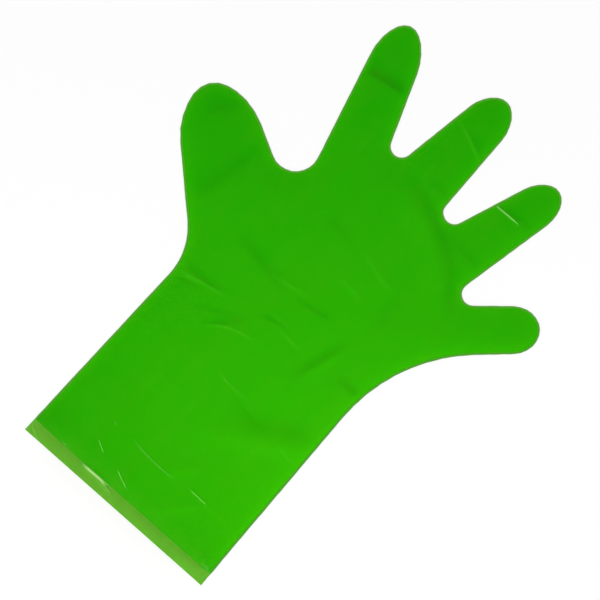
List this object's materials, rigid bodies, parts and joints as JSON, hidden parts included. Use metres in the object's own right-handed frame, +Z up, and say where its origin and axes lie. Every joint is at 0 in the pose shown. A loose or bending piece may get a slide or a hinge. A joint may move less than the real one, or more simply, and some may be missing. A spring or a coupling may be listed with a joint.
{
  "type": "disposable film glove",
  "caption": "Translucent green plastic film glove lying flat, its upper and lower films welded along the outline of a hand, with a long open cuff.",
  "frame": {"origin": "on the surface the glove lies on, under the middle of its overall box", "axes": "+Y from the cuff towards the fingertips, +X across the hand away from the thumb, +Z up from the surface"},
  "size_m": [0.2238, 0.2998, 0.0066],
  "materials": {
    "upper_film": "glossy film",
    "lower_film": "glossy film",
    "weld": "melted edge"
  },
  "bodies": {
    "hand": {"hand_lower_film": "lower_film", "hand_upper_film": "upper_film", "heel_seals": "weld", "web_seals": "weld"},
    "cuff": {"cuff_lower_film": "lower_film", "cuff_upper_film": "upper_film", "cuff_seals": "weld"},
    "thumb": {"thumb_lower_film": "lower_film", "thumb_upper_film": "upper_film", "thumb_seal": "weld"},
    "index": {"index_lower_film": "lower_film", "index_upper_film": "upper_film", "index_seal": "weld"},
    "middle": {"middle_lower_film": "lower_film", "middle_upper_film": "upper_film", "middle_seal": "weld"},
    "ring": {"ring_lower_film": "lower_film", "ring_upper_film": "upper_film", "ring_seal": "weld"},
    "little": {"little_lower_film": "lower_film", "little_upper_film": "upper_film", "little_seal": "weld"}
  },
  "joints": [
    {"name": "wrist_fold", "type": "hinge", "parent": "hand", "child": "cuff", "pos_m": [0.00176, -0.0419, 0.00665], "axis": [-1, 0, 0], "range_deg": [0, 90]},
    {"name": "thumb_fold", "type": "hinge", "parent": "hand", "child": "thumb", "pos_m": [-0.07675, 0.0293, 0.00625], "axis": [0.5807, 0.8141, 0], "range_deg": [0, 90]},
    {"name": "index_fold", "type": "hinge", "parent": "hand", "child": "index", "pos_m": [-0.03252, 0.09317, 0.00535], "axis": [0.9527, 0.304, 0], "range_deg": [0, 90]},
    {"name": "middle_fold", "type": "hinge", "parent": "hand", "child": "middle", "pos_m": [0.01202, 0.09798, 0.0053], "axis": [0.9971, -0.0767, 0], "range_deg": [0, 90]},
    {"name": "ring_fold", "type": "hinge", "parent": "hand", "child": "ring", "pos_m": [0.05475, 0.08605, 0.00506], "axis": [0.9598, -0.2807, 0], "range_deg": [0, 90]},
    {"name": "little_fold", "type": "hinge", "parent": "hand", "child": "little", "pos_m": [0.08717, 0.05133, 0.0051], "axis": [0.6665, -0.7455, 0], "range_deg": [0, 90]}
  ]
}
